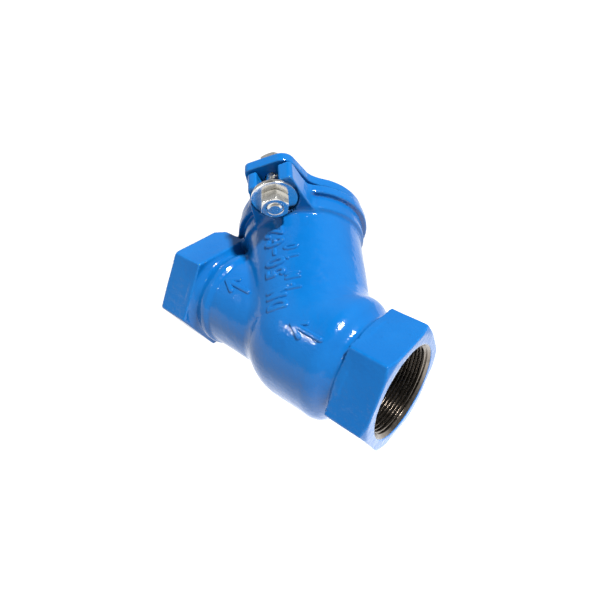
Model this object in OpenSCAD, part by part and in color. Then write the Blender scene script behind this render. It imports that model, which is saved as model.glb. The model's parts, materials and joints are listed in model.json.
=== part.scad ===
// Ball check valve, Y pattern, with a female pipe thread in each hexagonal end.
// The run axis is X, with the middle of the inlet face at the origin and the outlet towards -X.
// The branch leans back over the outlet, and its plane is rolled about the run axis until one
// flat of each hexagon faces straight up.

/* [Run] */
// Overall length, from inlet face to outlet face
run_length = 177; // [172:1:190]
// Width across the flats of each end hexagon
hex_flats = 73.3; // [72:0.1:76]
// Length of each end hexagon
hex_length = 26; // [24:1:28]
// Bore of the pipe thread, over its crests
thread_bore = 56.66; // [56.4:0.02:57]
// Length of full thread in each end
thread_length = 24; // [20:1:25]
// Diameter of the countersunk mouth of each end
mouth_d = 61; // [60:0.5:63]
// Bore of the seat that the ball closes
seat_bore = 50; // [44:1:52]
// Bore of the outlet passage
outlet_bore = 52; // [48:1:54]
// Outside diameter of the outlet tube
outlet_tube_d = 66; // [64:1:68]
// Outside diameter of the inlet chamber
inlet_chamber_d = 84.4; // [82:0.2:86]
// Outside diameter of the neck behind each hexagon
neck_d = 72; // [70:0.5:73]

/* [Branch] */
// Distance from the inlet face to the point where the two axes cross
branch_at = 69.6; // [66:0.2:74]
// Angle between the branch axis and the outlet half of the run axis
branch_angle = 50; // [45:1:55]
// Angle of the branch plane above the horizontal
branch_roll = 30; // [0:30:90]
// Outside diameter of the branch barrel
barrel_d = 83.4; // [82:0.2:86]
// Bore of the ball chamber
chamber_bore = 69; // [68:0.2:70]
// Outside diameter of the barrel's flange
flange_d = 96; // [93:0.5:100]
// Height of the flange's joint face along the branch axis
flange_top = 93; // [91:0.5:96]
// Thickness of the flange
flange_thickness = 7; // [5:0.5:9]

/* [Ball] */
// Diameter of the ball
ball_d = 66; // [64:0.5:66.5]
// Thickness of the ball's rubber coat
coat_thickness = 6; // [3:0.5:8]

/* [Cover] */
// Outside diameter of the cover's disc
cover_d = 92.5; // [90:0.5:95]
// Thickness of the cover's disc and ears
cover_thickness = 7; // [6:0.5:8]
// Thickness of the flat gasket under the cover
gasket_thickness = 1; // [0.8:0.1:1.5]
// Height of the raised middle of the cover
dome_height = 2.5; // [2:0.5:5]

/* [Bolting] */
// Distance from the branch axis to each bolt
bolt_offset = 56; // [55.5:0.1:57]
// Thread diameter of the bolts
bolt_d = 10; // [8:1:10]
// Length of the bolts under the head
bolt_length = 36; // [35:0.5:42]
// Width across the flats of the bolt heads and nuts
nut_flats = 17; // [16:0.5:17]
// Height of the nuts
nut_height = 8.4; // [8:0.2:8.6]
// Height of the bolt heads
head_height = 6.4; // [6:0.2:7]
// Outside diameter of the wide washers under the nuts
nut_washer_d = 30; // [24:0.5:30]
// Thickness of the wide washers under the nuts
nut_washer_thickness = 2.5; // [2:0.1:3]
// Outside diameter of the washers under the bolt heads
head_washer_d = 21; // [20:0.5:24]
// Thickness of the washers under the bolt heads
head_washer_thickness = 2; // [1.6:0.1:2.5]
// Width of the open slot in each lug of the casting
slot_width = 14.5; // [12:0.5:15]
// Thickness of each lug of the casting
lug_thickness = 14; // [12:0.5:15]

/* [Hidden] */
$fn = 96;
past = 1; // how far a cutter runs past the face it opens
ball_r = ball_d / 2;
thread_r = thread_bore / 2;
mouth_r = mouth_d / 2;
neck_r = neck_d / 2;
tube_r = outlet_tube_d / 2;
barrel_r = barrel_d / 2;
chamber_r = chamber_bore / 2;
flange_r = flange_d / 2;
relief_r = thread_r + 1.9;
cored_r = inlet_chamber_d / 2 - 7.5;
seat_ring = 5; // length of the seat bore
seat_clearance = 0.2;
seat_at = branch_at - sqrt(pow(ball_r, 2) - pow(seat_bore / 2, 2)) - seat_clearance;
shoulder_start = hex_length + 3;
shoulder_length = 17;
flange_base = flange_top - flange_thickness;
collar_r = 44.3;
collar_base = 74;
lug_base = flange_top - lug_thickness;
lug_end = 68;
slot_base = 73;
lug_slope = 9; // how much the underside of a lug falls towards the barrel
lug_root = 75; // height of the underside where it meets the barrel
cover_base = flange_top + gasket_thickness;
cover_top = cover_base + cover_thickness;
spigot_r = chamber_r - 0.3;
spigot_depth = 5;
recess_r = 29;
recess_roof = cover_base + 2;
gasket_bore = chamber_bore + 3;
gasket_d = cover_d - 3;
ear_end = 69;
hole_clearance = 1;
head_base = cover_top + head_washer_thickness;
nut_top = lug_base - nut_washer_thickness;
nut_bore_clearance = 0.06; // radial, so that the bolt turns freely in the nut
spot_face_d = nut_washer_d + 1.4;
corner_angle = [-3.4, 17]; // how far each bolt's hexagons are turned about its axis

// ---- frames ----

// Rolls the upright design, whose branch rises in the XZ plane, about the run axis.
module rolled() { rotate([branch_roll - 90, 0, 0]) children(); }

// Local Z runs back from the inlet face along the run.
module along_run() { rotate([0, -90, 0]) children(); }

// Local Z is the branch axis, from the point where the two axes cross.
module along_branch() {
    translate([-branch_at, 0, 0]) rotate([0, branch_angle - 90, 0]) children();
}

// The axis of one bolt: side -1 is the upper bolt and side 1 the lower one.
module at_bolt(side) { rolled() along_branch() translate([0, side * bolt_offset, 0]) children(); }

// ---- outlines ----

// A smooth rise from one radius to another, as [radius, height] points.
function rise(from_r, to_r, start, length, steps = 8) =
    [for (i = [0:steps]) [from_r + (to_r - from_r) * (1 - cos(180 * i / steps)) / 2,
                          start + length * i / steps]];

module revolved(points) { rotate_extrude() polygon(points); }

// One lug or ear seen along the branch axis: half widths at given distances from the axis.
module tapered_plate(right_side, left_side) {
    right = [for (p = right_side) [p[1], p[0]]];
    left = [for (i = [len(left_side) - 1:-1:0]) [-left_side[i][1], left_side[i][0]]];
    polygon(concat(right, left));
}

// ---- casting ----

// An end hexagon with its corners turned down to a round face at height 0.
module end_hexagon(face_r) {
    corner_r = hex_flats / sqrt(3);
    intersection() {
        rotate([0, 0, 30]) cylinder(r = corner_r, h = hex_length, $fn = 6);
        cylinder(r1 = face_r, r2 = face_r + hex_length / tan(30), h = hex_length);
    }
}

// Neck, rounded shoulder and wide chamber between the inlet hexagon and the crossing.
module inlet_chamber() {
    shoulder = rise(neck_r, inlet_chamber_d / 2, shoulder_start, shoulder_length);
    revolved(concat([[0, hex_length / 2], [neck_r, hex_length / 2]], shoulder,
                    [[inlet_chamber_d / 2, branch_at], [0, branch_at]]));
}

// Tube from the crossing back to the outlet hexagon, with a bead and a neck before the hexagon.
module outlet_tube() {
    hexagon_at = run_length - hex_length;
    bead_r = tube_r + 2;
    revolved(concat([[0, branch_at], [tube_r, branch_at], [tube_r, hexagon_at - 20]],
                    rise(tube_r, bead_r, hexagon_at - 18, 4, 4),
                    rise(bead_r, tube_r, hexagon_at - 12, 6, 6),
                    rise(tube_r, neck_r - 1, hexagon_at - 5, 5, 6),
                    [[neck_r - 1, hexagon_at + 5], [0, hexagon_at + 5]]));
}

// Round bottom, barrel, collar and flange of the branch.
module branch_barrel() {
    sphere(r = barrel_r);
    cylinder(r = barrel_r, h = flange_top);
    revolved(concat([[0, collar_base]], rise(barrel_r, collar_r, collar_base, 4, 4),
                    [[collar_r, flange_base - 4]], rise(collar_r, flange_r, flange_base - 3, 3, 4),
                    [[flange_r, flange_top - 0.8], [flange_r - 0.8, flange_top], [0, flange_top]]));
}

// The two lugs that the bolts pass through, deeper towards the barrel.
module lugs() {
    outline = [[20, 30], [33, 24.5], [43, 20.2], [52, 18.2], [lug_end - 3, 16.2],
               [lug_end - 0.8, 15.4], [lug_end, 14]];
    for (side = [-1, 1]) rotate([0, 0, side < 0 ? 180 : 0]) difference() {
        translate([0, 0, lug_root]) linear_extrude(flange_top - lug_root)
            tapered_plate(outline, outline);
        translate([-40, lug_end, lug_base + 0.4]) rotate([lug_slope, 0, 0])
            translate([0, -60, -20]) cube([80, 80, 20]);
    }
}

// Open slots for the bolts, and the spot faces that the wide washers sit in.
module lug_cuts() {
    for (side = [-1, 1]) translate([0, side * bolt_offset, 0]) {
        translate([0, 0, slot_base]) cylinder(d = slot_width, h = flange_top + past - slot_base);
        translate([-slot_width / 2, side < 0 ? -bolt_offset : 0, slot_base])
            cube([slot_width, bolt_offset, flange_top + past - slot_base]);
        translate([0, 0, slot_base]) cylinder(d = spot_face_d, h = lug_base - slot_base);
    }
}

// Threaded inlet, relief, the cored space behind the shoulder, and the narrower seat bore.
module inlet_bore() {
    full_end = mouth_r - thread_r + thread_length;
    revolved([[0, -past], [mouth_r, -past], [mouth_r, 0], [thread_r, mouth_r - thread_r],
              [thread_r, full_end], [relief_r, full_end + 1], [relief_r, full_end + 5],
              [cored_r, full_end + 11], [cored_r, seat_at - seat_ring - 4],
              [seat_bore / 2, seat_at - seat_ring], [seat_bore / 2, seat_at + past],
              [0, seat_at + past]]);
}

// Threaded outlet and the passage that leads to it.
module outlet_bore_cut() {
    full_end = run_length - (mouth_r - thread_r) - thread_length;
    revolved([[0, branch_at - 10], [outlet_bore / 2, branch_at - 10],
              [outlet_bore / 2, full_end - 8], [relief_r, full_end - 5],
              [relief_r, full_end - 1], [thread_r, full_end],
              [thread_r, run_length - (mouth_r - thread_r)], [mouth_r, run_length],
              [mouth_r, run_length + past], [0, run_length + past]]);
}

// Space that the ball moves in, cut square where the seat stands.
module ball_chamber() {
    intersection() {
        along_branch() {
            sphere(r = chamber_r);
            cylinder(r = chamber_r, h = flange_top + past);
        }
        along_run() translate([0, 0, seat_at]) cylinder(r = run_length, h = run_length);
    }
}

module body_casting() {
    color("#1069c9") rolled() difference() {
        union() {
            along_run() {
                end_hexagon(hex_flats / 2 + 1.8);
                translate([0, 0, run_length]) mirror([0, 0, 1]) end_hexagon(hex_flats / 2 + 4.2);
                inlet_chamber();
                outlet_tube();
            }
            along_branch() {
                branch_barrel();
                lugs();
            }
        }
        along_run() {
            inlet_bore();
            outlet_bore_cut();
        }
        ball_chamber();
        along_branch() lug_cuts();
    }
}

// ---- ball ----

module ball_core() {
    color("#b9bcc0") rolled() along_branch() sphere(r = ball_r - coat_thickness);
}

module ball_coat() {
    color("#1c1c1e") rolled() along_branch() difference() {
        sphere(r = ball_r);
        sphere(r = ball_r - coat_thickness);
    }
}

// ---- cover ----

// Disc, ears, raised middle and hollow spigot, as one casting.
module cover() {
    outline = [[20, 41], [36.8, 26.5], [39.5, 23.4], [43, 21.4], [48.5, 20], [54, 18.5],
               [60, 17.3], [ear_end - 3.5, 16], [ear_end - 1, 15.2], [ear_end, 14]];
    inlet_side = concat([for (i = [0:6]) outline[i]],
                        [[64, 15.7], [66.4, 13.6], [68.2, 9.8], [ear_end, 5.5]]);
    color("#1069c9") rolled() along_branch() difference() {
        union() {
            revolved([[0, cover_base - spigot_depth], [spigot_r, cover_base - spigot_depth],
                      [spigot_r, cover_base], [cover_d / 2, cover_base],
                      [cover_d / 2, cover_top - 1.2], [cover_d / 2 - 1.2, cover_top],
                      [35, cover_top], [31, cover_top + dome_height], [0, cover_top + dome_height]]);
            for (side = [-1, 1])
                translate([0, 0, cover_base]) rotate([0, 0, side < 0 ? 180 : 0])
                    linear_extrude(cover_thickness)
                        tapered_plate(side < 0 ? outline : inlet_side,
                                      side < 0 ? inlet_side : outline);
        }
        translate([0, 0, cover_base - spigot_depth - past])
            cylinder(r = recess_r, h = recess_roof - cover_base + spigot_depth + past);
        for (side = [-1, 1])
            translate([0, side * bolt_offset, cover_base - past])
                cylinder(d = bolt_d + hole_clearance, h = cover_thickness + 2 * past);
    }
}

module cover_gasket() {
    color("#222222") rolled() along_branch() translate([0, 0, flange_top]) difference() {
        cylinder(d = gasket_d, h = gasket_thickness);
        translate([0, 0, -past]) cylinder(d = gasket_bore, h = gasket_thickness + 2 * past);
    }
}

// ---- bolting ----

// A hexagon with its corners turned down at the faces that are named.
module turned_hexagon(height, turn, lower, upper) {
    face_r = nut_flats / 2 * 0.97;
    reach = nut_flats / sqrt(3) + 1;
    slope = (reach - face_r) * tan(30);
    intersection() {
        rotate([0, 0, turn]) cylinder(r = nut_flats / sqrt(3), h = height, $fn = 6);
        revolved([[0, 0], [lower ? face_r : reach, 0], [reach, lower ? slope : 0],
                  [reach, height - (upper ? slope : 0)], [upper ? face_r : reach, height],
                  [0, height]]);
    }
}

module bolt(side, turn) {
    point = bolt_d / 10;
    color("#b8b4a8") at_bolt(side) {
        translate([0, 0, head_base]) turned_hexagon(head_height, turn, false, true);
        translate([0, 0, head_base - bolt_length])
            revolved([[0, 0], [bolt_d / 2 - point, 0], [bolt_d / 2, point],
                      [bolt_d / 2, bolt_length + past], [0, bolt_length + past]]);
    }
}

module nut(side, turn) {
    color("#b8b4a8") at_bolt(side) translate([0, 0, nut_top - nut_height]) difference() {
        turned_hexagon(nut_height, turn, true, true);
        translate([0, 0, -past])
            cylinder(r = bolt_d / 2 + nut_bore_clearance, h = nut_height + 2 * past);
    }
}

module washer(side, base, diameter, thickness) {
    color("#c4c2bb") at_bolt(side) translate([0, 0, base]) difference() {
        cylinder(d = diameter, h = thickness);
        translate([0, 0, -past]) cylinder(d = bolt_d + 0.5, h = thickness + 2 * past);
    }
}

module upper_bolt() { bolt(-1, corner_angle[0]); }
module lower_bolt() { bolt(1, corner_angle[1]); }
module upper_nut() { nut(-1, corner_angle[0]); }
module lower_nut() { nut(1, corner_angle[1]); }
module upper_head_washer() { washer(-1, cover_top, head_washer_d, head_washer_thickness); }
module lower_head_washer() { washer(1, cover_top, head_washer_d, head_washer_thickness); }
module upper_nut_washer() { washer(-1, nut_top, nut_washer_d, nut_washer_thickness); }
module lower_nut_washer() { washer(1, nut_top, nut_washer_d, nut_washer_thickness); }

body_casting();
cover();
cover_gasket();
ball_core();
ball_coat();
upper_bolt();
upper_head_washer();
upper_nut_washer();
upper_nut();
lower_bolt();
lower_head_washer();
lower_nut_washer();
lower_nut();
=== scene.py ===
"""Looks of a Y-pattern ball check valve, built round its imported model.

The two castings are distance fields in millimetres, meshed here so that every edge and corner is
rounded the way a coated casting is. Threads are real helices, and the bolting is turned. Every
mesh is made in place, in the row frame: the run axis is X, with the outlet towards -X.
"""

import json
import math

import bmesh
import bpy
import numpy as np
from mathutils import Matrix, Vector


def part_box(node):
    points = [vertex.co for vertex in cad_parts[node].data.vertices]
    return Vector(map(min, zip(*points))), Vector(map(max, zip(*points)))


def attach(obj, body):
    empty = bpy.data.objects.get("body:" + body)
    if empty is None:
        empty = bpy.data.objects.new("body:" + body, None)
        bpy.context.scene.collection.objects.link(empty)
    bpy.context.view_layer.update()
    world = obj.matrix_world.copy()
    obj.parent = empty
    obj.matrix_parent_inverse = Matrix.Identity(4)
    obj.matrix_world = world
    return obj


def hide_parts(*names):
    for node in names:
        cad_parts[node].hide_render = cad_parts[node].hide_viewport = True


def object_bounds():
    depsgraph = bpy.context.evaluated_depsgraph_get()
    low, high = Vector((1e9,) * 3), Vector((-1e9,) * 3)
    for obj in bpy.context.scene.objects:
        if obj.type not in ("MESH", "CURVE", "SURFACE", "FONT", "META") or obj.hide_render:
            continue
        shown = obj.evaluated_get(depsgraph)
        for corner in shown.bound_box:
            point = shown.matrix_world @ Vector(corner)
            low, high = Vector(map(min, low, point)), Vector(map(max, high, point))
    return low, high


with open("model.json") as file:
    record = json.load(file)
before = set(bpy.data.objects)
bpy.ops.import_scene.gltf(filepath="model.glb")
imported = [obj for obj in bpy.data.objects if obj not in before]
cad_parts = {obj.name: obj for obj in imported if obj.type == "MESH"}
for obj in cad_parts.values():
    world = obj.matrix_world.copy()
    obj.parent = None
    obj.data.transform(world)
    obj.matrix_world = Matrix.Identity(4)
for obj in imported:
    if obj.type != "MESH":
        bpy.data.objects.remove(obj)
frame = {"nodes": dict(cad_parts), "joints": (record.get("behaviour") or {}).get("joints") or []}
cad_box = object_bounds()

MM = 0.001
JOINTS = {joint["name"]: joint for joint in frame["joints"]}


# ---- directions and places, all from the frame ----

def unit(vector):
    return vector / np.linalg.norm(vector)


def node_points(name):
    """A CAD node's vertices, in millimetres."""
    return np.array([v.co for v in frame["nodes"][name].data.vertices]) / MM


CROSSING = np.array(sum(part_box("ball_coat"), start=0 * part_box("ball_coat")[0])) / 2 / MM
RUN = np.array([1.0, 0.0, 0.0])
BRANCH = unit(np.array(JOINTS["ball_travel"]["axis"]))
SIDE = unit(BRANCH - (BRANCH @ RUN) * RUN)  # square to the run, in the branch's plane
EAR = np.cross(RUN, SIDE)  # towards the upper bolt
FORE = np.cross(EAR, BRANCH)  # square to the branch, in the branch's plane


def extent(name, axis, origin=CROSSING):
    """Lowest and highest distance of a node along an axis."""
    along = (node_points(name) - origin) @ axis
    return along.min(), along.max()


def radii(name, origin, axis):
    """Smallest and largest distance of a node's vertices from an axis."""
    offset = node_points(name) - origin
    away = np.linalg.norm(offset - np.outer(offset @ axis, axis), axis=1)
    return away.min(), away.max()


# ---- sizes, in millimetres ----

RUN_LENGTH = -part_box("body_casting")[0].x / MM
CROSS_AT = -CROSSING[0]
HEX_FLATS = 73.3
HEX_LENGTH = 26.5
INLET_FACE_RADIUS = HEX_FLATS / 2 + 1.8
OUTLET_FACE_RADIUS = HEX_FLATS / 2 + 4.2
NECK_RADIUS = 35.8
INLET_RADIUS = 42.2
TUBE_RADIUS = 33
BARREL_RADIUS = 41.7
COLLAR_RADIUS = 44.3
FLANGE_RADIUS = 48
FLANGE_THICKNESS = 7
LUG_THICKNESS = 14
LUG_END = 68
LUG_SLOPE = 0.17  # how much the underside of a lug falls towards the barrel
SLOT_WIDTH = 14.5
CHAMBER_RADIUS = 34.5
OUTLET_PASSAGE_RADIUS = 26
COLLAR_MIDDLE = 81
COLLAR_HALF = 5.5
SLOT_BOTTOM = 70
LUG_LOWEST = 74
SEAT_AT = CROSS_AT - 21.74
SEAT_RADIUS = 25
LINER_BORE = 30.6  # where the casting ends and the machined thread begins
WAVE_HEIGHT = 0.07
FASTENER_FLATS = 17.0
BOLT_PITCH = 1.5
PIPE_PITCH = 2.309
PIPE_CREST = 28.33
PIPE_ROOT = 29.8
PIPE_THREAD_END = 26.6
FLANGE_TOP = extent("cover_gasket", BRANCH)[0]
COVER_BASE = extent("cover_gasket", BRANCH)[1]
BOLT_OFFSET = (np.array(JOINTS["upper_nut_turn"]["pos_m"]) / MM - CROSSING) @ EAR
COVER_RADIUS = 46.25
COVER_THICKNESS = 7
COVER_DOME = 2.5
SPIGOT_CLEARANCE = 0.3
COVER_RECESS_RADIUS = 29
BOLT_HOLE_RADIUS = 5.5
SPOT_FACE_RADIUS = 15.9
EAR_END = extent("cover", EAR)[1]


# ---- distance fields ----

def united(a, b, fillet):
    """Union of two fields, with a fillet of that radius along the corner between them."""
    reach = np.hypot(np.maximum(fillet - a, 0), np.maximum(fillet - b, 0))
    return np.maximum(fillet, np.minimum(a, b)) - reach


def common(a, b, rounding):
    """Intersection of two fields, with the edge between them rounded."""
    return -united(-a, -b, rounding)


def without(a, b, rounding):
    return common(a, -b, rounding)


def smooth_step(start, length, at):
    t = np.clip((at - start) / length, 0, 1)
    return t * t * (3 - 2 * t)


def hexagon_plan(across, along, apothem):
    """Distance from a regular hexagon with a flat facing each way along the second direction."""
    a, b = np.abs(across), np.abs(along)
    fold = 2 * np.minimum(b / 2 - a * math.sqrt(0.75), 0)
    a = a + fold * math.sqrt(0.75)
    b = b - fold / 2
    a = a - np.clip(a, -apothem / math.sqrt(3), apothem / math.sqrt(3))
    return np.hypot(a, b - apothem) * np.sign(b - apothem)


def end_hexagon(end_depth, side, ear, run_radius, face_radius):
    """One end hexagon, with turned corners at its face. end_depth is measured from that face."""
    edge = 0.9
    plan = hexagon_plan(ear, side, HEX_FLATS / 2 - edge) - edge
    block = common(plan, np.abs(end_depth - HEX_LENGTH / 2) - HEX_LENGTH / 2, 0.8)
    turned = (run_radius - face_radius) / 2 - end_depth * math.sqrt(0.75)
    return common(block, turned, 0.6)


def inlet_chamber(depth, run_radius):
    """Wide round chamber with a rounded shoulder, and the neck in front of it."""
    shoulder = common(run_radius - INLET_RADIUS, 30 - depth, 14)
    chamber = np.maximum(shoulder, depth - CROSS_AT)
    neck = np.maximum(run_radius - NECK_RADIUS, np.abs(depth - 34) - 10)
    return united(chamber, neck, 3)


def outlet_tube(depth, run_radius):
    """Tube with a bead, then a narrow neck, before the outlet hexagon."""
    hexagon_at = RUN_LENGTH - HEX_LENGTH
    bead = smooth_step(hexagon_at - 17, 4, depth) - smooth_step(hexagon_at - 11, 7, depth)
    neck = smooth_step(hexagon_at - 4, 4, depth)
    skin = run_radius - TUBE_RADIUS - 2 * bead - 2 * neck
    return np.maximum(skin * 0.95, np.abs(depth - (CROSS_AT + hexagon_at + 2) / 2)
                      - (hexagon_at + 2 - CROSS_AT) / 2)


def lug_field(fore, ear, height):
    """The two tapered lugs, before their slots are cut."""
    half_width = 14.6 + 15.4 * np.exp(-(np.maximum(np.abs(ear), 20) - 20) / 22)
    half_width = half_width - 2.4 * smooth_step(52, 12, np.abs(ear)) * (fore > 0)
    plan = common((np.abs(fore) - half_width) * 0.95, np.abs(ear) - LUG_END, 3)
    base = FLANGE_TOP - LUG_THICKNESS + 0.4 - (LUG_END - np.abs(ear)) * LUG_SLOPE
    under = np.maximum(base, LUG_LOWEST) - height
    return common(common(plan, height - FLANGE_TOP, 0.8), under, 1.0)


def casting_outside(x, side, ear):
    depth = -x
    run_radius = np.hypot(side, ear)
    height, fore = branch_place(x, side)
    branch_radius = np.hypot(fore, ear)

    hexagons = np.minimum(
        end_hexagon(depth, side, ear, run_radius, INLET_FACE_RADIUS),
        end_hexagon(RUN_LENGTH - depth, side, ear, run_radius, OUTLET_FACE_RADIUS))
    belly = np.hypot(height, branch_radius) - INLET_RADIUS
    inlet = np.minimum(inlet_chamber(depth, run_radius), belly)
    barrel = np.maximum(branch_radius - BARREL_RADIUS, np.abs(height - 45) - 45)

    # the fillet between barrel and chamber fades out where the two become one surface
    toward_crotch = (x + CROSS_AT) * 0.42 + side * 0.906
    crotch_fillet = 4.5 * np.clip(toward_crotch / 34, 0.02, 1)
    body = united(inlet, barrel, crotch_fillet)
    body = united(body, outlet_tube(depth, run_radius), 2.8)
    body = united(body, hexagons, 2.6)

    collar = common(branch_radius - COLLAR_RADIUS,
                    np.abs(height - COLLAR_MIDDLE) - COLLAR_HALF, 1.2)
    flange_middle = FLANGE_TOP - FLANGE_THICKNESS / 2
    flange = common(branch_radius - FLANGE_RADIUS,
                    np.abs(height - flange_middle) - FLANGE_THICKNESS / 2, 1.4)
    top = united(collar, flange, 1.2)
    body = united(body, top, 3)
    body = united(body, lug_field(fore, ear, height), 2.2)
    body = body + cast_unevenness(x, side, ear)
    body = common(body, height - FLANGE_TOP, 0.5)

    bolt_away = np.abs(ear) - BOLT_OFFSET
    slot = np.hypot(fore, np.minimum(bolt_away, 0)) - SLOT_WIDTH / 2
    body = without(body, np.maximum(slot, SLOT_BOTTOM - height), 1.2)
    spot_face = np.maximum(np.hypot(fore, bolt_away) - SPOT_FACE_RADIUS,
                           np.abs(height - FLANGE_TOP + LUG_THICKNESS + 1.9) - 1.9)
    return without(body, spot_face, 0.5)


def cast_unevenness(x, side, ear):
    """Slow waves of about a tenth of a millimetre, as on a sand casting under its coating."""
    waves = np.sin(x / 5.1 + 1.3 * np.sin(side / 9.7)) * np.sin(side / 6.3 + ear / 11.0)
    waves = waves + np.sin(ear / 4.7 + x / 8.9) * np.cos(side / 7.9 - x / 13.0)
    return WAVE_HEIGHT * waves


def casting_inside(x, side, ear):
    """Thread bores, reliefs, seat, ball chamber and outlet passage."""
    depth = -x
    run_radius = np.hypot(side, ear)
    height, fore = branch_place(x, side)
    cored = INLET_RADIUS - 7.5
    inlet_wall = np.interp(depth, [32, 38, SEAT_AT - 9, SEAT_AT - 5],
                           [LINER_BORE, cored, cored, SEAT_RADIUS])
    inlet = common((run_radius - inlet_wall) * 0.8, depth - SEAT_AT - 2, 0.2)
    outlet_end = RUN_LENGTH - 35
    outlet_wall = np.interp(depth, [outlet_end, outlet_end + 3],
                            [OUTLET_PASSAGE_RADIUS, LINER_BORE])
    outlet = common((run_radius - outlet_wall) * 0.8, CROSS_AT - 10 - depth, 0.2)
    barrel = np.where(height > 0, np.hypot(fore, ear), np.sqrt(fore**2 + ear**2 + height**2))
    chamber = common(barrel - CHAMBER_RADIUS, SEAT_AT - depth, 0.2)
    return np.minimum(np.minimum(inlet, outlet), chamber)


def casting_field(x, side, ear):
    return without(casting_outside(x, side, ear), casting_inside(x, side, ear), 0.6)


def branch_place(x, side):
    """Height along the branch and distance along FORE, for points in the run's own frame."""
    from_crossing = x + CROSS_AT
    height = from_crossing * BRANCH[0] + side * (BRANCH @ SIDE)
    fore = from_crossing * FORE[0] + side * (FORE @ SIDE)
    return height, fore


def cover_field(fore, ear, height):
    """Disc, ears, raised middle and hollow spigot. Heights are from the cover's joint face."""
    radius = np.hypot(fore, ear)
    half_width = 21.6 - 0.245 * (np.abs(ear) - 43)
    corner = 3 + 4 * smooth_step(4, -8, fore)  # larger on the inlet's side
    ears = common((np.abs(fore) - half_width) * 0.97, np.abs(ear) - EAR_END - 0.6, corner)
    plan = united(radius - COVER_RADIUS, ears, 5)
    plate = common(plan, np.abs(height - COVER_THICKNESS / 2) - COVER_THICKNESS / 2, 1.0)
    dome_edge = (radius - 33) * 0.7 + (height - COVER_THICKNESS) * 0.7
    dome = common(dome_edge, height - COVER_THICKNESS - COVER_DOME, 2.5)
    plate = united(plate, np.maximum(dome, -height), 2.5)
    spigot = np.maximum(radius - CHAMBER_RADIUS + SPIGOT_CLEARANCE,
                        np.abs(height + 1.5) - 3.5)
    body = np.minimum(plate, spigot)
    recess = common(radius - COVER_RECESS_RADIUS, height - 2, 1.5)
    hole = np.hypot(fore, np.abs(ear) - BOLT_OFFSET) - BOLT_HOLE_RADIUS
    waves = 0.5 * cast_unevenness(fore, ear, height)
    return without(without(body + waves, recess, 0.8), hole, 0.4)


# ---- meshing a field ----

def grid_of(low, high, step):
    return [np.arange(a, b + step, step) for a, b in zip(low, high)]


def surface_net(field, low, high, step):
    """Vertices and quads of the field's zero surface: one vertex in each cell that it crosses."""
    axes = grid_of(low, high, step)
    values = field(*np.meshgrid(*axes, indexing="ij", sparse=True))
    shape = np.array(values.shape)
    cells = shape - 1
    total = np.zeros((*cells, 3))
    count = np.zeros(cells)
    quads = []
    for axis in range(3):
        first = np.take(values, range(shape[axis] - 1), axis)
        second = np.take(values, range(1, shape[axis]), axis)
        crossed = (first < 0) != (second < 0)
        place = np.argwhere(crossed)
        share = first[crossed] / (first[crossed] - second[crossed])
        rising = first[crossed] < 0
        point = place.astype(float)
        point[:, axis] += share
        u, v = [other for other in range(3) if other != axis]
        around = []
        for du, dv in ((0, 0), (-1, 0), (-1, -1), (0, -1)):
            cell = place.copy()
            cell[:, u] += du
            cell[:, v] += dv
            around.append(cell)
        whole = np.all([(c >= 0).all(1) & (c < cells).all(1) for c in around], axis=0)
        for cell in around:
            key = tuple(cell[whole].T)
            np.add.at(total, key, point[whole])
            np.add.at(count, key, 1)
        ring = np.stack([np.ravel_multi_index(tuple(c[whole].T), cells) for c in around], axis=1)
        turn = ~rising[whole] if axis == 1 else rising[whole]
        quads.append(np.where(turn[:, None], ring, ring[:, ::-1]))
    used = count > 0
    number = np.full(cells, -1)
    number[used] = np.arange(used.sum())
    vertices = total[used] / count[used][:, None] * step + np.array([a[0] for a in axes])
    return vertices, number.ravel()[np.concatenate(quads)]


def slope(field, points, width=0.05):
    steps = np.eye(3) * width
    return np.stack([(field(*(points + d).T) - field(*(points - d).T)) / (2 * width)
                     for d in steps], axis=1)


def settled(field, points, step):
    """Points moved onto the field's zero surface, with the surface's normals there."""
    start = points.copy()
    for _ in range(4):
        gradient = slope(field, points)
        move = field(*points.T)[:, None] * gradient
        points = points - move / np.maximum((gradient**2).sum(1), 0.2)[:, None]
        points = start + np.clip(points - start, -step * 0.8, step * 0.8)
    gradient = slope(field, points, step * 0.25)
    normals = gradient / np.maximum(np.linalg.norm(gradient, axis=1), 1e-9)[:, None]
    return points, normals


def edge_measure(field, points, width=1.2):
    """About +1 along outside edges and -1 in corners, from how the field bends over a short way."""
    steps = np.eye(3) * width
    bend = sum(field(*(points + d).T) + field(*(points - d).T) for d in steps)
    return np.clip(bend / width * 0.8, -1, 1)


# ---- objects ----

def in_row(points, axes, origin):
    """Points given along three axes from an origin, in the row frame and in metres."""
    return (np.asarray(points) @ np.array(axes) + origin) * MM


def new_object(name, points, faces, body, slot, stands_for=(), normals=None, sharp=38):
    mesh = bpy.data.meshes.new(name)
    mesh.from_pydata(points.tolist(), [], faces.tolist() if hasattr(faces, "tolist") else faces)
    if normals is None:
        welded = bmesh.new()
        welded.from_mesh(mesh)
        bmesh.ops.remove_doubles(welded, verts=welded.verts, dist=2e-6)
        bmesh.ops.dissolve_degenerate(welded, edges=welded.edges, dist=1e-7)
        bmesh.ops.recalc_face_normals(welded, faces=welded.faces)
        welded.to_mesh(mesh)
        welded.free()
    mesh.polygons.foreach_set("use_smooth", [True] * len(mesh.polygons))
    if normals is None:
        mesh.set_sharp_from_angle(angle=math.radians(sharp))
    else:
        mesh.normals_split_custom_set_from_vertices(normals.tolist())
    obj = bpy.data.objects.new(name, mesh)
    bpy.context.scene.collection.objects.link(obj)
    mesh.materials.append(MATERIALS[slot])
    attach(obj, body)
    if stands_for:
        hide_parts(*stands_for)
    return obj


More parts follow.
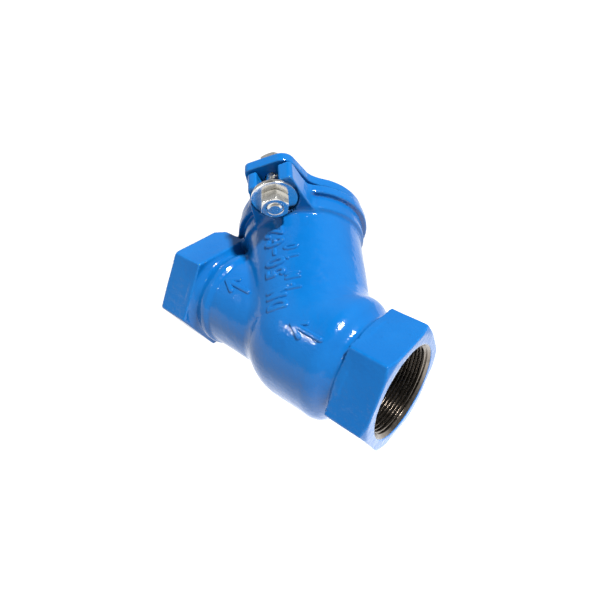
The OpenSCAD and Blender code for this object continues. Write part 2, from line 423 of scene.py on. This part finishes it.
def field_object(name, field, low, high, step, axes, origin, body, slot, stands_for):
    points, quads = surface_net(field, low, high, step)
    points, normals = settled(field, points, step)
    obj = new_object(name, in_row(points, axes, origin), quads, body, slot, stands_for,
                     normals @ np.array(axes))
    edges = obj.data.attributes.new("edge", "FLOAT", "POINT")
    edges.data.foreach_set("value", edge_measure(field, points).astype(np.float32))
    return obj


# ---- turned parts ----

def softened(radius, height, size, steps=3):
    """A closed outline of rings, each corner of which is replaced by a small curve."""
    outline = np.stack(np.broadcast_arrays(radius, height), axis=-1).astype(float)
    before, after = np.roll(outline, 1, axis=0), np.roll(outline, -1, axis=0)
    rings = []
    for k, corner in enumerate(outline):
        pull = []
        for other in (before[k], after[k]):
            way = other - corner
            length = np.maximum(np.linalg.norm(way, axis=-1, keepdims=True), 1e-9)
            pull.append(way / length * np.minimum(size, 0.45 * length))
        for t in np.linspace(0, 1, steps):
            rings.append(corner + pull[0] * (1 - t) ** 2 + pull[1] * t**2)
    rings = np.array(rings)
    return rings[..., 0], rings[..., 1]


def swept_rings(radius, height, angles):
    """Vertices and quads of a closed outline taken once round an axis."""
    shape = (len(radius), len(angles))
    radius = np.broadcast_to(radius, shape)
    height = np.broadcast_to(height, shape)
    points = np.stack([radius * np.cos(angles), radius * np.sin(angles), height], axis=-1)
    index = np.arange(shape[0] * shape[1]).reshape(shape)
    over, right = np.roll(index, -1, axis=0), np.roll(index, -1, axis=1)
    quads = np.stack([index, right, np.roll(over, -1, axis=1), over], axis=-1)
    return points.reshape(-1, 3), quads.reshape(-1, 4)


def circle(count):
    return np.arange(count) * 2 * math.pi / count


def washer(name, body, bolt, columns=72):
    origin = bolt_origin(bolt)
    inner, outer = radii(name, origin, BRANCH)
    low, high = extent(name, BRANCH, origin)
    corners_r = np.array([inner, outer, outer, inner])[:, None]
    corners_h = np.array([low, low, high, high])[:, None]
    radius, height = softened(corners_r, corners_h, 0.4)
    points, quads = swept_rings(radius, height, circle(columns))
    new_object("washer_" + name, in_row(points, (-FORE, -EAR, BRANCH), origin), quads, body,
               "stainless_washer", [name])


def bolt_origin(bolt):
    return CROSSING + (BOLT_OFFSET if bolt == "upper" else -BOLT_OFFSET) * EAR


def corner_direction(name, origin):
    """Angle of one corner of a node's hexagon, about the branch direction."""
    offset = node_points(name) - origin
    flat = np.stack([offset @ -FORE, offset @ -EAR], axis=1)
    far = flat[np.argmax(np.linalg.norm(flat, axis=1))]
    return math.atan2(far[1], far[0])


def hexagon_radius(angles, turn):
    """Radius of a fastener's hexagon at each angle, its corners a little blunted."""
    from_flat = (angles - turn) % (math.pi / 3) - math.pi / 6
    return np.minimum(FASTENER_FLATS / 2 / np.cos(from_flat), FASTENER_FLATS / math.sqrt(3) - 0.14)


def hexagon_rings(low, high, turn, angles, blunt_low, blunt_high):
    """Outer corners of a hexagonal head or nut, with the curved edges that turning leaves."""
    face = FASTENER_FLATS / 2 * 0.96
    outer = hexagon_radius(angles, turn)
    fall = (outer - face) * math.tan(math.radians(30))
    rings = [(np.full_like(outer, face), np.full_like(outer, low))] if blunt_low else []
    rings += [(outer, low + fall * blunt_low), (outer, high - fall * blunt_high)]
    rings += [(np.full_like(outer, face), np.full_like(outer, high))] if blunt_high else []
    return [r for r, _ in rings], [h for _, h in rings]


def nut(name, body, bolt):
    origin = bolt_origin(bolt)
    low, high = extent(name, BRANCH, origin)
    angles = circle(144)
    bore, mouth = 5.12, 5.75
    outer_r, outer_h = hexagon_rings(low, high, corner_direction(name, origin), angles, 1, 1)
    level = np.ones_like(angles)
    radius = [bore * level, mouth * level, *outer_r, mouth * level, bore * level]
    height = [(low + 0.65) * level, low * level, *outer_h, high * level, (high - 0.65) * level]
    radius, height = softened(np.array(radius), np.array(height), 0.22)
    points, quads = swept_rings(radius, height, angles)
    new_object("hex_" + name, in_row(points, (-FORE, -EAR, BRANCH), origin), quads, body,
               "stainless_bolting", [name])


def helix(profile, pitch, low, high, limit, columns):
    """Rings that follow a thread. profile is (share of a turn, radius) and limit trims the radius.

    Rows before the start and after the end fall together on the end planes, so that welding
    closes the skin there.
    """
    shares = np.array([share for share, _ in profile])
    wall = np.array([radius for _, radius in profile])
    turns = int((high - low) / pitch) + 2
    rows = (np.arange(-1, turns)[:, None] + shares).ravel()
    wall = np.tile(wall, turns + 1)
    angles = np.linspace(0, 2 * math.pi, columns + 1)
    along = (rows[:, None] + angles / (2 * math.pi)) * pitch + low
    held = np.clip(along, low, high)
    radius = limit(held, np.broadcast_to(wall[:, None], held.shape))
    ends = limit(held, np.full_like(held, wall[0]))
    radius = np.where(held == along, radius, ends)
    points = np.stack([radius * np.cos(angles), radius * np.sin(angles), held], axis=-1)
    index = np.arange(held.size).reshape(held.shape)
    quads = np.stack([index[:-1, :-1], index[:-1, 1:], index[1:, 1:], index[1:, :-1]], axis=-1)
    return points.reshape(-1, 3), quads.reshape(-1, 4)


def fan(radius, height, columns):
    """A flat round end, to close a shaft."""
    angles = circle(columns)
    rim = np.stack([radius * np.cos(angles), radius * np.sin(angles), 0 * angles + height], axis=1)
    points = np.concatenate([rim, [[0, 0, height]]])
    faces = [[k, (k + 1) % columns, columns] for k in range(columns)]
    return points, faces


def bolt(name, which):
    """Hexagon bolt: a head with turned corners on a shank threaded nearly to the head."""
    origin = bolt_origin(which)
    low, high = extent(name, BRANCH, origin)
    head_low = extent(which + "_head_washer", BRANCH, origin)[1]
    columns = 48
    major, minor, point = 4.97, 4.1, 3.9

    def limit(height, radius):
        ramp = np.minimum(point + (height - low), 9)
        shank = np.where(height > head_low - 3.5, major, 0)
        return np.maximum(np.minimum(radius, ramp), np.minimum(shank, 4.9))

    profile = [(0, minor), (0.22, minor), (0.52, major), (0.68, major)]
    skin, quads = helix(profile, BOLT_PITCH, low, head_low + 1, limit, columns)
    tip, tip_faces = fan(point, low, columns)

    angles = circle(144)
    turn = corner_direction(name, origin)
    outer_r, outer_h = hexagon_rings(head_low, high, turn, angles, 0, 1)
    level = np.ones_like(angles)
    radius = [0 * level, *outer_r, 0.02 * level]
    height = [head_low * level, *outer_h, high * level]
    radius, height = softened(np.array(radius), np.array(height), 0.25)
    head, head_quads = swept_rings(radius, height, angles)

    points = np.concatenate([skin, tip, head])
    faces = quads.tolist()
    faces += [[k + len(skin) for k in face] for face in tip_faces]
    faces += (head_quads + len(skin) + len(tip)).tolist()
    new_object("hex_" + name, in_row(points, (-FORE, -EAR, BRANCH), origin), faces, "cover",
               "stainless_bolting", [name])


def thread_liner(name, face_x, inward):
    """The machined pipe thread of one end, with its countersunk mouth: a bare metal skin."""
    crest, root, length = PIPE_CREST, PIPE_ROOT, PIPE_THREAD_END
    mouth, lip = LINER_BORE - 0.05, 0.35
    columns = 144

    def limit(depth, radius):
        countersink = mouth - (depth - lip)
        run_out = root + 0.5 - np.maximum(length - 0.7 - depth, 0)
        return np.maximum(np.maximum(radius, countersink), run_out)

    profile = [(0, crest), (0.14, crest), (0.28, crest + 0.42), (0.48, root - 0.16),
               (0.57, root), (0.66, root - 0.16), (0.86, crest + 0.42)]
    skin, quads = helix(profile, PIPE_PITCH, lip, length, limit, columns)
    ends = [limit(np.array(h), np.array(crest)).item() for h in (lip, length)]
    back, back_quads = swept_rings(np.array([[ends[0]], [mouth + 0.3], [mouth + 0.3], [ends[1]]]),
                                   np.array([[lip], [lip], [length], [length]]), circle(columns))
    inner_side = len(back_quads) // 4 * 3  # the last ring of quads would close the bore's own side
    points = np.concatenate([skin, back])
    faces = quads.tolist() + (back_quads[:inner_side] + len(skin)).tolist()
    across = np.cross(RUN * inward, EAR)
    new_object(name, in_row(points, (EAR, across, RUN * inward), RUN * face_x), faces, "casting",
               "bare_iron")


def gasket():
    inner, outer = radii("cover_gasket", CROSSING, BRANCH)
    bulge = np.array([inner, inner + 0.4, outer - 0.4, outer, outer - 0.4, inner + 0.4])
    middle = (FLANGE_TOP + COVER_BASE) / 2
    level = np.array([middle, FLANGE_TOP, FLANGE_TOP, middle, COVER_BASE, COVER_BASE])
    radius, height = softened(bulge[:, None], level[:, None], 0.2)
    points, quads = swept_rings(radius, height, circle(120))
    new_object("sheet_gasket", in_row(points, (-FORE, -EAR, BRANCH), CROSSING), quads, "casting",
               "gasket_rubber", ["cover_gasket"])


def ball():
    """Rubber coat with the fine flash line that its mould leaves, and its hollow for the core."""
    outer = extent("ball_coat", BRANCH)[1]
    inner = extent("ball_core", BRANCH)[1]
    lean = np.linspace(-math.pi / 2, math.pi / 2, 73)
    flash_height, flash_width = 0.12, 0.5
    flash = flash_height * np.exp(-(lean * outer / flash_width) ** 2)
    angles = circle(128)
    points, faces = [], []
    start = 0
    for size in (outer - flash_height + flash, np.full_like(lean, inner)):
        radius = np.maximum(size * np.cos(lean), 0.001)[:, None]
        shell, quads = swept_rings(radius, (size * np.sin(lean))[:, None], angles)
        points.append(shell)
        faces += (quads[:-len(angles)] + start).tolist()
        start += len(shell)
    tilt = unit(BRANCH + 0.5 * EAR + 0.3 * FORE)
    first = unit(np.cross(tilt, RUN))
    axes = (first, np.cross(tilt, first), tilt)
    new_object("rubber_coat", in_row(np.concatenate(points), axes, CROSSING), faces, "ball",
               "ball_rubber", ["ball_coat"])


# ---- raised marks ----

def arc(middle_u, middle_v, size_u, size_v, start, end, steps=14):
    sweep = np.radians(np.linspace(start, end, steps))
    return [(middle_u + size_u * math.cos(a), middle_v + size_v * math.sin(a)) for a in sweep]


# nominal size, pressure and thread marks only: each sign is a few strokes in a box 1 high
SIGNS = {
    "D": [[(0, 0), (0, 1), (0.15, 1)] + arc(0.17, 0.5, 0.4, 0.5, 90, -90) + [(0, 0)]],
    "N": [[(0, 0), (0, 1), (0.56, 0), (0.56, 1)]],
    "P": [[(0, 0), (0, 1), (0.22, 1)] + arc(0.24, 0.74, 0.3, 0.26, 90, -90) + [(0, 0.48)]],
    "G": [arc(0.32, 0.5, 0.32, 0.5, 50, 345) + [(0.62, 0.45), (0.36, 0.45)]],
    "0": [arc(0.29, 0.5, 0.29, 0.5, 0, 360, 24)],
    "1": [[(0.08, 0.78), (0.3, 1), (0.3, 0)]],
    "2": [arc(0.28, 0.72, 0.28, 0.28, 165, -35) + [(0, 0), (0.56, 0)]],
    "5": [[(0.52, 1), (0.08, 1), (0.04, 0.56)] + arc(0.26, 0.32, 0.29, 0.32, 125, -145)],
    "-": [[(0.1, 0.5), (0.5, 0.5)]],
}


SIGN_WIDTH = 0.62  # of a sign's box, where its height is 1


def text_strokes(text, height, pitch):
    """Strokes of a row of signs, centred on (0, 0)."""
    start = -(len(text) - 1) * pitch / 2 - 0.28 * height * SIGN_WIDTH
    strokes = []
    for place, sign in enumerate(text):
        for stroke in SIGNS.get(sign, []):
            strokes.append([(start + place * pitch + u * height * SIGN_WIDTH,
                             (v - 0.5) * height) for u, v in stroke])
    return strokes


def stroke_distance(u, v, strokes):
    """Distance of each point from the nearest stroke."""
    nearest = np.full(u.shape, 1e3)
    for stroke in strokes:
        for (u0, v0), (u1, v1) in zip(stroke, stroke[1:]):
            du, dv = u1 - u0, v1 - v0
            share = np.clip(((u - u0) * du + (v - v0) * dv) / max(du**2 + dv**2, 1e-9), 0, 1)
            nearest = np.minimum(nearest, np.hypot(u - u0 - share * du, v - v0 - share * dv))
    return nearest


def raised(strokes, width, height, place, step=0.4):
    """Closed shells standing on a round surface. place(u, v, height) gives the row point."""
    ends = np.array([point for stroke in strokes for point in stroke])
    low, high = ends.min(0) - width, ends.max(0) + width
    u, v = np.meshgrid(np.arange(low[0], high[0], step), np.arange(low[1], high[1], step),
                       indexing="ij")
    away = stroke_distance(u, v, strokes) - width / 2
    rise = height - (height + 0.45) * smooth_step(-0.55, 1.4, away)
    kept = away < 0.85
    cell = kept[:-1, :-1] & kept[1:, :-1] & kept[1:, 1:] & kept[:-1, 1:]
    top = place(u, v, rise).reshape(-1, 3)
    base = place(u, v, np.full_like(rise, -1.0)).reshape(-1, 3)
    index = np.arange(u.size).reshape(u.shape)
    ring = np.stack([index[:-1, :-1], index[1:, :-1], index[1:, 1:], index[:-1, 1:]], axis=-1)
    quads = ring[cell]
    sides = []
    edges = {}
    for quad in quads.tolist():
        for a, b in zip(quad, quad[1:] + quad[:1]):
            edges[(a, b)] = True
    for a, b in edges:
        if (b, a) not in edges:
            sides.append([b, a, a + u.size, b + u.size])
    faces = quads.tolist() + (quads[:, ::-1] + u.size).tolist() + sides
    used = np.unique(np.array(faces))
    renumber = np.full(2 * u.size, -1)
    renumber[used] = np.arange(len(used))
    return np.concatenate([top, base])[used], renumber[np.array(faces)]


def on_barrel(middle_height, middle_angle):
    """Lines of marks that run up the barrel. Angles are from EAR, positive away from FORE."""
    def place(u, v, rise):
        angle = math.radians(middle_angle) - v / BARREL_RADIUS
        radius = (BARREL_RADIUS + rise)[..., None]
        out = np.cos(angle)[..., None] * EAR - np.sin(angle)[..., None] * FORE
        return (CROSSING + radius * out + (middle_height + u)[..., None] * BRANCH) * MM
    return place


def on_run(middle_depth, middle_angle, wall):
    """Marks that run along the valve's run. Angles are about RUN, from +Y towards +Z."""
    def place(u, v, rise):
        angle = math.radians(middle_angle) - v / wall
        radius = (wall + rise)[..., None]
        out = np.stack([0 * angle, np.cos(angle), np.sin(angle)], axis=-1)
        return (radius * out - (middle_depth + u)[..., None] * RUN) * MM
    return place


# the flow arrow's shaft and its head, in millimetres
ARROW = [[(-10, 0), (10.5, 0)], [(2.5, 4.6), (10.5, 0), (2.5, -4.6)]]


def marks():
    # each row's strokes, their width and height, and where they stand
    rows = [
        (text_strokes("DN 50-G2", 12, 7.7), 2.7, 1.2, on_barrel(35, -10)),
        (text_strokes("PN 10", 8.4, 7.2), 2.1, 1.0, on_barrel(33, 5.5)),
        (ARROW, 3.0, 1.3, on_run(53, 126, INLET_RADIUS)),
        (ARROW, 3.0, 1.3, on_run(120, 117, TUBE_RADIUS)),
    ]
    points, faces, start = [], [], 0
    for strokes, width, height, place in rows:
        shell, quads = raised(strokes, width, height, place)
        points.append(shell)
        faces += (quads + start).tolist()
        start += len(shell)
    new_object("raised_marks", np.concatenate(points), faces, "casting", "blue_epoxy", sharp=70)


# ---- materials ----

class Shader:
    """A material with a Principled shader and short calls for the nodes that feed it."""

    def __init__(self, name, **values):
        self.material = bpy.data.materials.new(name)
        self.material.use_nodes = True
        self.tree = self.material.node_tree
        self.shader = self.tree.nodes["Principled BSDF"]
        for socket, value in values.items():
            self.shader.inputs[socket.replace("_", " ")].default_value = value
        self.place = self.tree.nodes.new("ShaderNodeTexCoord").outputs["Object"]

    def link(self, value, socket):
        self.tree.links.new(value, socket)

    def feed(self, socket, value):
        self.link(value, self.shader.inputs[socket])

    def noise(self, size_mm, detail=3.0, roughness=0.55, stretch=None):
        """Noise whose features are about size_mm across."""
        node = self.tree.nodes.new("ShaderNodeTexNoise")
        node.inputs["Scale"].default_value = 1 / (size_mm * MM)
        node.inputs["Detail"].default_value = detail
        node.inputs["Roughness"].default_value = roughness
        source = self.place
        if stretch is not None:
            mapping = self.tree.nodes.new("ShaderNodeMapping")
            mapping.inputs["Scale"].default_value = stretch
            self.link(source, mapping.inputs["Vector"])
            source = mapping.outputs["Vector"]
        self.link(source, node.inputs["Vector"])
        return node.outputs["Fac"]

    def ramp(self, value, low, high, start, end):
        """value from start to end becomes a number from low to high."""
        node = self.tree.nodes.new("ShaderNodeMapRange")
        node.interpolation_type = "SMOOTHSTEP"
        for socket, number in (("From Min", start), ("From Max", end),
                               ("To Min", low), ("To Max", high)):
            node.inputs[socket].default_value = number
        self.link(value, node.inputs["Value"])
        return node.outputs["Result"]

    def math(self, operation, a, b):
        node = self.tree.nodes.new("ShaderNodeMath")
        node.operation = operation
        for socket, value in zip(node.inputs, (a, b)):
            if isinstance(value, (int, float)):
                socket.default_value = value
            else:
                self.link(value, socket)
        return node.outputs["Value"]

    def mixed(self, share, first, second):
        """A colour between two, each of which is three numbers or an output."""
        node = self.tree.nodes.new("ShaderNodeMix")
        node.data_type = "RGBA"
        self.link(share, node.inputs["Factor"])
        for socket, colour in ((node.inputs[6], first), (node.inputs[7], second)):
            if isinstance(colour, tuple):
                socket.default_value = (*colour, 1)
            else:
                self.link(colour, socket)
        return node.outputs[2]

    def attribute(self, name):
        node = self.tree.nodes.new("ShaderNodeAttribute")
        node.attribute_name = name
        return node.outputs["Fac"]

    def bump(self, *layers):
        """Each layer is (height in millimetres, value)."""
        normal = None
        for depth_mm, value in layers:
            node = self.tree.nodes.new("ShaderNodeBump")
            node.inputs["Strength"].default_value = 1.0
            node.inputs["Distance"].default_value = depth_mm * MM
            self.link(value, node.inputs["Height"])
            if normal is not None:
                self.link(normal, node.inputs["Normal"])
            normal = node.outputs["Normal"]
        self.feed("Normal", normal)


def blue_epoxy():
    """Thick glossy coating over sand-cast iron: slightly wavy, thinner and paler on edges, with
    painted shade darkening its corners and creases.
    """
    paint = Shader("blue_epoxy", IOR=1.42)
    cloud = paint.ramp(paint.noise(34, 3), 0, 1, 0.35, 0.65)
    colour = paint.mixed(cloud, BLUE, BLUE_LIGHT)
    edge = paint.attribute("edge")
    worn = paint.math("MULTIPLY", paint.ramp(edge, 0, 0.55, 0.2, 0.9),
                      paint.ramp(paint.noise(3.0, 4), 0.3, 1, 0.4, 0.65))
    colour = paint.mixed(worn, colour, BLUE_EDGE)
    corner = paint.math("MULTIPLY", edge, -1)
    # painted shade: corners and creases get a deeper, darker blue
    painted_crease_shade = paint.ramp(corner, 0, 0.7, 0.15, 0.9)
    colour = paint.mixed(painted_crease_shade, colour, BLUE_PAINTED_SHADE)
    paint.feed("Base Color", colour)
    paint.feed("Roughness", paint.ramp(paint.noise(6, 4), 0.09, 0.2, 0.3, 0.75))
    paint.bump((0.3, paint.noise(7.5, 2, 0.4)), (0.16, paint.noise(2.6, 2, 0.5)))
    return paint.material


def bare_iron():
    """Machined ductile iron, oiled and dark, with a fine bumpy grain."""
    metal = Shader("bare_iron", Metallic=1.0)
    stain = mottle(metal, 5)
    metal.feed("Base Color", metal.mixed(stain, IRON, IRON_STAINED))
    metal.feed("Roughness", metal.ramp(metal.noise(2.0, 4), 0.2, 0.3, 0.3, 0.7))
    metal.bump((0.015, metal.noise(1.5, 2)))
    return metal.material


def mottle(shader, size_mm):
    """A share from 0 to 1 that changes in soft patches."""
    return shader.ramp(shader.noise(size_mm, 5, 0.6), 0, 1, 0.35, 0.7)


def stainless_bolting():
    """Plain stainless steel, cold formed: a little mottled, with fine marks from the tooling."""
    metal = Shader("stainless_bolting", Metallic=1.0)
    metal.feed("Base Color", metal.mixed(mottle(metal, 2.5), STEEL, STEEL_DULL))
    metal.feed("Roughness", metal.ramp(metal.noise(2.2, 3), 0.2, 0.3, 0.3, 0.7))
    metal.bump((0.02, metal.noise(2.4, 2)))
    return metal.material


def stainless_washer():
    """Stamped from bright rolled sheet, so finer and smoother than the bolting."""
    metal = Shader("stainless_washer", Metallic=1.0)
    metal.feed("Base Color", metal.mixed(mottle(metal, 4), STEEL, STEEL_DULL))
    metal.feed("Roughness", metal.ramp(metal.noise(2.4, 4), 0.14, 0.26, 0.3, 0.7))
    metal.bump((0.008, metal.noise(1.6, 2)))
    return metal.material


def rubber(name, colour, dusty, grain_mm, rough):
    sheet = Shader(name, IOR=1.5, Specular_IOR_Level=0.4)
    sheet.feed("Base Color", sheet.mixed(mottle(sheet, 9), colour, dusty))
    sheet.feed("Roughness", sheet.ramp(sheet.noise(3, 3), rough, rough + 0.18, 0.3, 0.7))
    sheet.bump((0.03, sheet.noise(grain_mm, 3)))
    return sheet.material


def ball_metal():
    metal = Shader("ball_metal", Metallic=1.0)
    metal.feed("Base Color", metal.mixed(mottle(metal, 6), CORE_METAL, CORE_METAL_DULL))
    metal.feed("Roughness", metal.ramp(metal.noise(1.6, 4), 0.35, 0.55, 0.3, 0.7))
    metal.bump((0.08, metal.noise(1.4, 4)))
    return metal.material


BLUE = (0.002, 0.100, 0.33)
BLUE_LIGHT = (0.003, 0.110, 0.35)
BLUE_EDGE = (0.008, 0.15, 0.43)
# painted shade, for the coating's corners and creases
BLUE_PAINTED_SHADE = (0.002, 0.066, 0.26)
STEEL = (0.82, 0.80, 0.75)
STEEL_DULL = (0.74, 0.72, 0.67)
IRON = (0.17, 0.15, 0.13)
IRON_STAINED = (0.11, 0.095, 0.08)
CORE_METAL = (0.62, 0.62, 0.64)
CORE_METAL_DULL = (0.5, 0.5, 0.52)

MATERIALS = {
    "blue_epoxy": blue_epoxy(),
    "bare_iron": bare_iron(),
    "stainless_bolting": stainless_bolting(),
    "stainless_washer": stainless_washer(),
    "gasket_rubber": rubber("gasket_rubber", (0.02, 0.02, 0.02), (0.04, 0.04, 0.038), 0.8, 0.6),
    "ball_rubber": rubber("ball_rubber", (0.022, 0.022, 0.024), (0.035, 0.035, 0.036), 0.5, 0.35),
    "ball_metal": ball_metal(),
}


# ---- the valve ----

def build():
    casting_step = 1.3
    cover_step = 0.9
    run_axes = (RUN, SIDE, EAR)
    top = FLANGE_TOP * (BRANCH @ SIDE) - FLANGE_RADIUS * BRANCH[0] + 3
    field_object("casting", casting_field, (-RUN_LENGTH - 3, -46, -LUG_END - 3),
                 (3, top, LUG_END + 3), casting_step, run_axes, 0 * RUN,
                 "casting", "blue_epoxy", ["body_casting"])
    field_object("cover_casting", cover_field, (-48, -EAR_END - 2, -7), (48, EAR_END + 2, 12),
                 cover_step, (FORE, EAR, BRANCH), CROSSING + COVER_BASE * BRANCH,
                 "cover", "blue_epoxy", ["cover"])
    thread_liner("inlet_thread_skin", 0, -1)
    thread_liner("outlet_thread_skin", -RUN_LENGTH, 1)
    gasket()
    ball()
    for which in ("upper", "lower"):
        bolt(which + "_bolt", which)
        nut(which + "_nut", which + "_nut", which)
        washer(which + "_nut_washer", "casting", which)
        washer(which + "_head_washer", "cover", which)
    marks()
    frame["nodes"]["ball_core"].data.materials.clear()
    frame["nodes"]["ball_core"].data.materials.append(MATERIALS["ball_metal"])


build()


# ---- floor, light and camera ----

def floor():
    """A pale table that is lit from below, most of all beside the inlet."""
    material = Shader("pale_floor", IOR=1.3)
    material.feed("Base Color", material.mixed(material.noise(400, 2), FLOOR_DARK, FLOOR_PALE))
    material.feed("Roughness", material.ramp(material.noise(60, 3), 0.7, 0.85, 0.3, 0.7))
    middle = material.tree.nodes.new("ShaderNodeVectorMath")
    middle.operation = "DISTANCE"
    middle.inputs[1].default_value = GLOW_AT
    material.link(material.place, middle.inputs[0])
    glow = material.ramp(middle.outputs["Value"], GLOW, TABLE_GLOW, 0.02, GLOW_REACH)
    material.feed("Emission Strength", glow)
    material.shader.inputs["Emission Color"].default_value = (1, 1, 1, 1)
    level = cad_box[0].z - FLOOR_GAP
    mesh = bpy.data.meshes.new("floor")
    plan = [(-1, -1), (1, -1), (1, 1), (-1, 1)]
    mesh.from_pydata([(FLOOR_REACH * x, FLOOR_REACH * y, level) for x, y in plan], [],
                     [(0, 1, 2, 3)])
    mesh.materials.append(material.material)
    obj = bpy.data.objects.new("floor", mesh)
    bpy.context.scene.collection.objects.link(obj)


def sun(name, toward, strength, spread, colour=(1, 1, 1)):
    """A distant lamp. toward points from the valve to the lamp."""
    lamp = bpy.data.lights.new(name, "SUN")
    lamp.energy = strength
    lamp.angle = math.radians(spread)
    lamp.color = colour
    obj = bpy.data.objects.new(name, lamp)
    aim = unit(np.array(toward, float))
    first = unit(np.cross([0, 0, 1.0], aim) + [1e-6, 0, 0])
    turn = np.stack([first, np.cross(aim, first), aim], axis=1)
    obj.matrix_world = Matrix(turn.tolist()).to_4x4()
    bpy.context.scene.collection.objects.link(obj)


def surroundings():
    """A pale room with a dark ceiling straight above the table."""
    world = bpy.data.worlds.new("studio")
    world.use_nodes = True
    tree = world.node_tree
    background = tree.nodes["Background"]
    background.inputs["Color"].default_value = ROOM_COLOUR
    parts = tree.nodes.new("ShaderNodeSeparateXYZ")
    tree.links.new(tree.nodes.new("ShaderNodeTexCoord").outputs["Generated"], parts.inputs[0])
    ceiling = tree.nodes.new("ShaderNodeMapRange")
    ceiling.interpolation_type = "SMOOTHSTEP"
    for socket, number in (("From Min", CEILING_START), ("From Max", CEILING_FULL),
                           ("To Min", ROOM_LEVEL), ("To Max", CEILING_LEVEL)):
        ceiling.inputs[socket].default_value = number
    tree.links.new(parts.outputs["Z"], ceiling.inputs["Value"])
    tree.links.new(ceiling.outputs["Result"], background.inputs["Strength"])
    bpy.context.scene.world = world


def camera():
    """At the height and angle of a person looking down over the inlet end."""
    data = bpy.data.cameras.new("camera")
    data.lens = CAMERA_LENS
    data.sensor_width = 36
    data.clip_start, data.clip_end = 0.01, 100
    obj = bpy.data.objects.new("camera", data)
    right, forward = np.array(CAMERA_RIGHT), np.array(CAMERA_FORWARD)
    right = unit(right - (right @ forward) * forward / (forward @ forward))
    back = -unit(forward)
    turn = np.stack([right, np.cross(back, right), back], axis=1)
    matrix = Matrix(turn.tolist()).to_4x4()
    matrix.translation = CAMERA_PLACE
    obj.matrix_world = matrix
    bpy.context.scene.collection.objects.link(obj)
    bpy.context.scene.camera = obj


FLOOR_DARK = (0.06, 0.06, 0.06)
FLOOR_PALE = (0.07, 0.07, 0.07)
FLOOR_GAP = 0.0004
FLOOR_REACH = 30
GLOW_AT = (0.0, 0.0, cad_box[0].z)
GLOW_REACH = 0.2
GLOW = 2.2  # beside the inlet
TABLE_GLOW = 0.99  # everywhere else
ROOM_COLOUR = (0.95, 0.97, 1.0, 1)
ROOM_LEVEL = 0.42
CEILING_LEVEL = 0.04
CEILING_START, CEILING_FULL = 0.78, 0.95  # how steeply up a direction points
CAMERA_LENS = 27.14
CAMERA_RIGHT = (0.75817, 0.65175, -0.02001)
CAMERA_FORWARD = (-0.52385, 0.59053, -0.61389)
CAMERA_PLACE = (0.07061, -0.16860, 0.20430)

floor()
sun("main", (0.35, 0.10, 0.93), 6.9, 6)
sun("left", (-0.478, -0.569, 0.669), 0.4, 3)
surroundings()
camera()
bpy.context.scene.view_settings.view_transform = "Standard"
